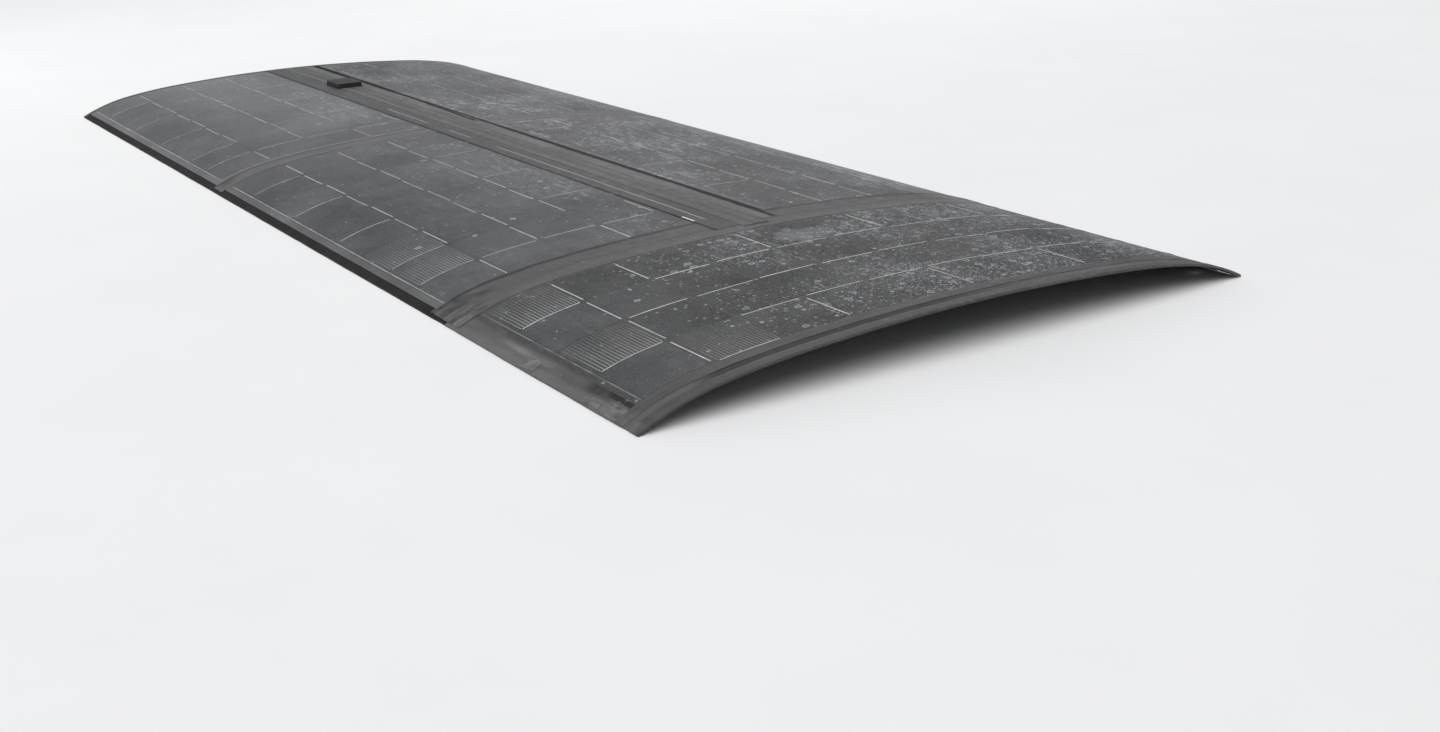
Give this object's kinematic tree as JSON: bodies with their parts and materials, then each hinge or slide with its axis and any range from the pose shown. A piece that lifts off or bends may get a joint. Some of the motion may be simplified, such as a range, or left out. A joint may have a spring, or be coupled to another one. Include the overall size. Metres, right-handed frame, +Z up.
{
  "type": "flexible solar sheet",
  "caption": "Arched flexible solar sheet: thin square-celled laminates joined by cover tapes, with a low centre cable channel and a lidded cable entry.",
  "frame": {"origin": "middle of the sheet's length and width, at the level of its two long lower edges", "axes": "+X along the sheet towards its front end, +Y across it, +Z up out of the roof"},
  "size_m": [3.888, 1.5862, 0.115],
  "materials": {
    "backsheet": "fine matte",
    "black_sealant": "satin bead",
    "block_grey": "moulded",
    "butyl_adhesive": "tacky matte",
    "cable_jacket": "satin",
    "channel_cover": "matte",
    "copper_foil": "thin foil",
    "cover_tape": "matte tape",
    "edge_trim": "matte moulded strip",
    "encapsulant": "matte",
    "filler_rubber": "matte",
    "lever_orange": "moulded",
    "moulded_black": "fine texture",
    "side_tape": "matte tape, bubbled",
    "solar_cell": "dark coated foil with fine wires",
    "stainless_pin": "plain",
    "tinned_ribbon": "bright tinned",
    "top_film": "satin weathered film"
  },
  "bodies": {
    "sheet": {"channel_cover": "channel_cover", "channel_tape_left": "cover_tape", "channel_tape_right": "cover_tape", "channel_tray": "filler_rubber", "entry_hinge_pin": "stainless_pin", "entry_housing": "moulded_black", "foil_leads": "copper_foil", "front_adhesive": "butyl_adhesive", "front_backsheet": "backsheet", "front_band_filler": "filler_rubber", "front_band_front_tape": "cover_tape", "front_band_rear_tape": "cover_tape", "front_cells": "solar_cell", "front_edge_tape": "cover_tape", "front_edge_trim": "edge_trim", "front_encapsulant": "encapsulant", "front_lead_left": "cable_jacket", "front_lead_right": "cable_jacket", "front_ribbons": "tinned_ribbon", "front_top_film": "top_film", "mid_left_adhesive": "butyl_adhesive", "mid_left_backsheet": "backsheet", "mid_left_cells": "solar_cell", "mid_left_encapsulant": "encapsulant", "mid_left_ribbons": "tinned_ribbon", "mid_left_top_film": "top_film", "mid_right_adhesive": "butyl_adhesive", "mid_right_backsheet": "backsheet", "mid_right_cells": "solar_cell", "mid_right_encapsulant": "encapsulant", "mid_right_ribbons": "tinned_ribbon", "mid_right_top_film": "top_film", "rear_band_filler": "filler_rubber", "rear_band_patch_tape": "cover_tape", "rear_band_tape": "cover_tape", "rear_edge_trim": "edge_trim", "rear_left_adhesive": "butyl_adhesive", "rear_left_backsheet": "backsheet", "rear_left_cells": "solar_cell", "rear_left_encapsulant": "encapsulant", "rear_left_ribbons": "tinned_ribbon", "rear_left_top_film": "top_film", "rear_right_adhesive": "butyl_adhesive", "rear_right_backsheet": "backsheet", "rear_right_cells": "solar_cell", "rear_right_encapsulant": "encapsulant", "rear_right_ribbons": "tinned_ribbon", "rear_right_top_film": "top_film", "sealant_bead": "black_sealant", "side_flap_left": "side_tape", "side_flap_right": "side_tape", "side_seal_left": "black_sealant", "side_seal_right": "black_sealant", "terminal_block": "block_grey", "terminal_pods": "moulded_black", "trunk_cable_left": "cable_jacket", "trunk_cable_right": "cable_jacket"},
    "lid": {"entry_lid": "moulded_black"},
    "lever_left": {"terminal_lever_left": "lever_orange"},
    "lever_right": {"terminal_lever_right": "lever_orange"}
  },
  "joints": [
    {"name": "lid_hinge", "type": "hinge", "parent": "sheet", "child": "lid", "pos_m": [-1.4535, 0, 0.11153], "axis": [0, -1, 0], "range_deg": [0, 105]},
    {"name": "lever_left_turn", "type": "hinge", "parent": "sheet", "child": "lever_left", "pos_m": [-1.386, -0.02, 0.10133], "axis": [0, -1, 0], "range_deg": [0, 80]},
    {"name": "lever_right_turn", "type": "hinge", "parent": "sheet", "child": "lever_right", "pos_m": [-1.386, 0.02, 0.10133], "axis": [0, -1, 0], "range_deg": [0, 80]}
  ]
}
